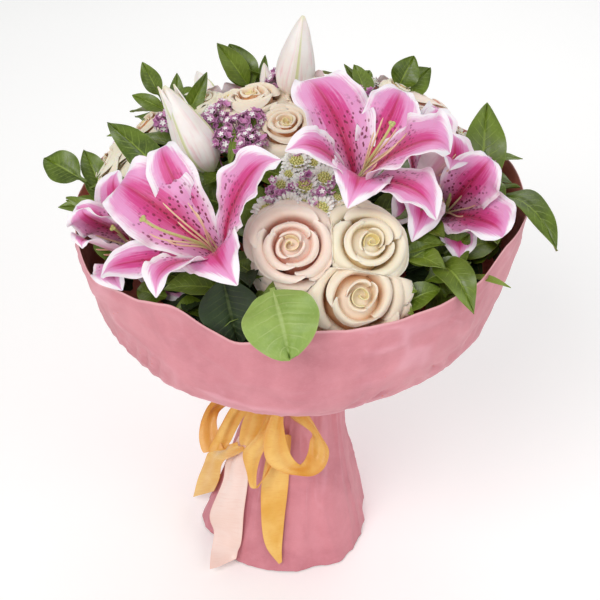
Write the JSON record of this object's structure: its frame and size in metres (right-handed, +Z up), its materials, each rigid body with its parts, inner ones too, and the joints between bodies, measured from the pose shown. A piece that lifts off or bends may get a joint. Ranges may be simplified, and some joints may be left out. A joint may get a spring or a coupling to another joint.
{
  "type": "flower bouquet",
  "caption": "Hand-tied bouquet of pink lilies, cream and blush roses and small filler flowers in a flared pink paper wrap with a satin ribbon bow",
  "frame": {"origin": "on the floor, under the middle of the bouquet's footprint box", "axes": "+Z up along the stems, -Y towards the viewer and the bow, +X to the viewer's right"},
  "size_m": [0.4363, 0.4339, 0.5268],
  "materials": {
    "pink_paper": "matte creased wrapping paper, rose outside and coral inside",
    "jute_cord": "matte twisted cord",
    "gold_satin": "satin sheen, woven",
    "peach_satin": "satin sheen, woven",
    "lily_pink": "soft matte petal, white edge, pink to crimson middle",
    "bud_white": "soft waxy petal",
    "rose_cream": "soft matte petal, cream to peach",
    "rose_blush": "soft matte petal, blush",
    "daisy_white": "matte white petals with yellow-green centre",
    "statice_mauve": "dry papery flowers",
    "leaf_green": "semi-gloss leaf",
    "leaf_pale": "matte leaf",
    "stem_green": "satin green stem"
  },
  "bodies": {
    "root": {"binding_tie": "jute_cord", "bow_loop_front": "gold_satin", "bow_loop_left": "gold_satin", "bow_loop_middle": "gold_satin", "bow_loop_right": "gold_satin", "chrysanthemum_back": "daisy_white", "chrysanthemum_front": "daisy_white", "foliage_back_left": "leaf_green", "foliage_back_right": "leaf_green", "foliage_left": "leaf_green", "foliage_low_right": "leaf_green", "foliage_right": "leaf_green", "foliage_top": "leaf_green", "foliage_top_left": "leaf_green", "foliage_top_right": "leaf_green", "leaf_lily_front": "leaf_green", "leaf_lily_left": "leaf_green", "leaf_round_front": "leaf_pale", "lily_a": "lily_pink", "lily_b": "lily_pink", "lily_bud_back": "bud_white", "lily_bud_left": "bud_white", "lily_bud_top": "bud_white", "lily_c": "lily_pink", "lily_d": "lily_pink", "lily_e": "lily_pink", "lily_f": "lily_pink", "lily_g": "lily_pink", "ribbon_band": "gold_satin", "ribbon_knot": "gold_satin", "ribbon_tail_left": "gold_satin", "ribbon_tail_pink": "peach_satin", "ribbon_tail_right": "gold_satin", "rose_blush_back": "rose_blush", "rose_blush_front": "rose_blush", "rose_cream_back": "rose_cream", "rose_cream_front": "rose_cream", "rose_cream_left": "rose_cream", "rose_cream_low": "rose_cream", "rose_cream_top": "rose_cream", "rose_peach_top": "rose_cream", "statice_back": "statice_mauve", "statice_left": "statice_mauve", "stem_chrysanthemum_back": "stem_green", "stem_chrysanthemum_front": "stem_green", "stem_lily_back": "stem_green", "stem_lily_left": "stem_green", "stem_lily_right": "stem_green", "stem_rose_blush_back": "stem_green", "stem_rose_blush_front": "stem_green", "stem_rose_cream_back": "stem_green", "stem_rose_cream_front": "stem_green", "stem_rose_cream_left": "stem_green", "stem_rose_cream_low": "stem_green", "stem_rose_cream_top": "stem_green", "stem_rose_peach_top": "stem_green", "stem_statice_back": "stem_green", "stem_statice_left": "stem_green", "wrap_collar": "pink_paper", "wrap_skirt": "pink_paper"}
  },
  "joints": []
}
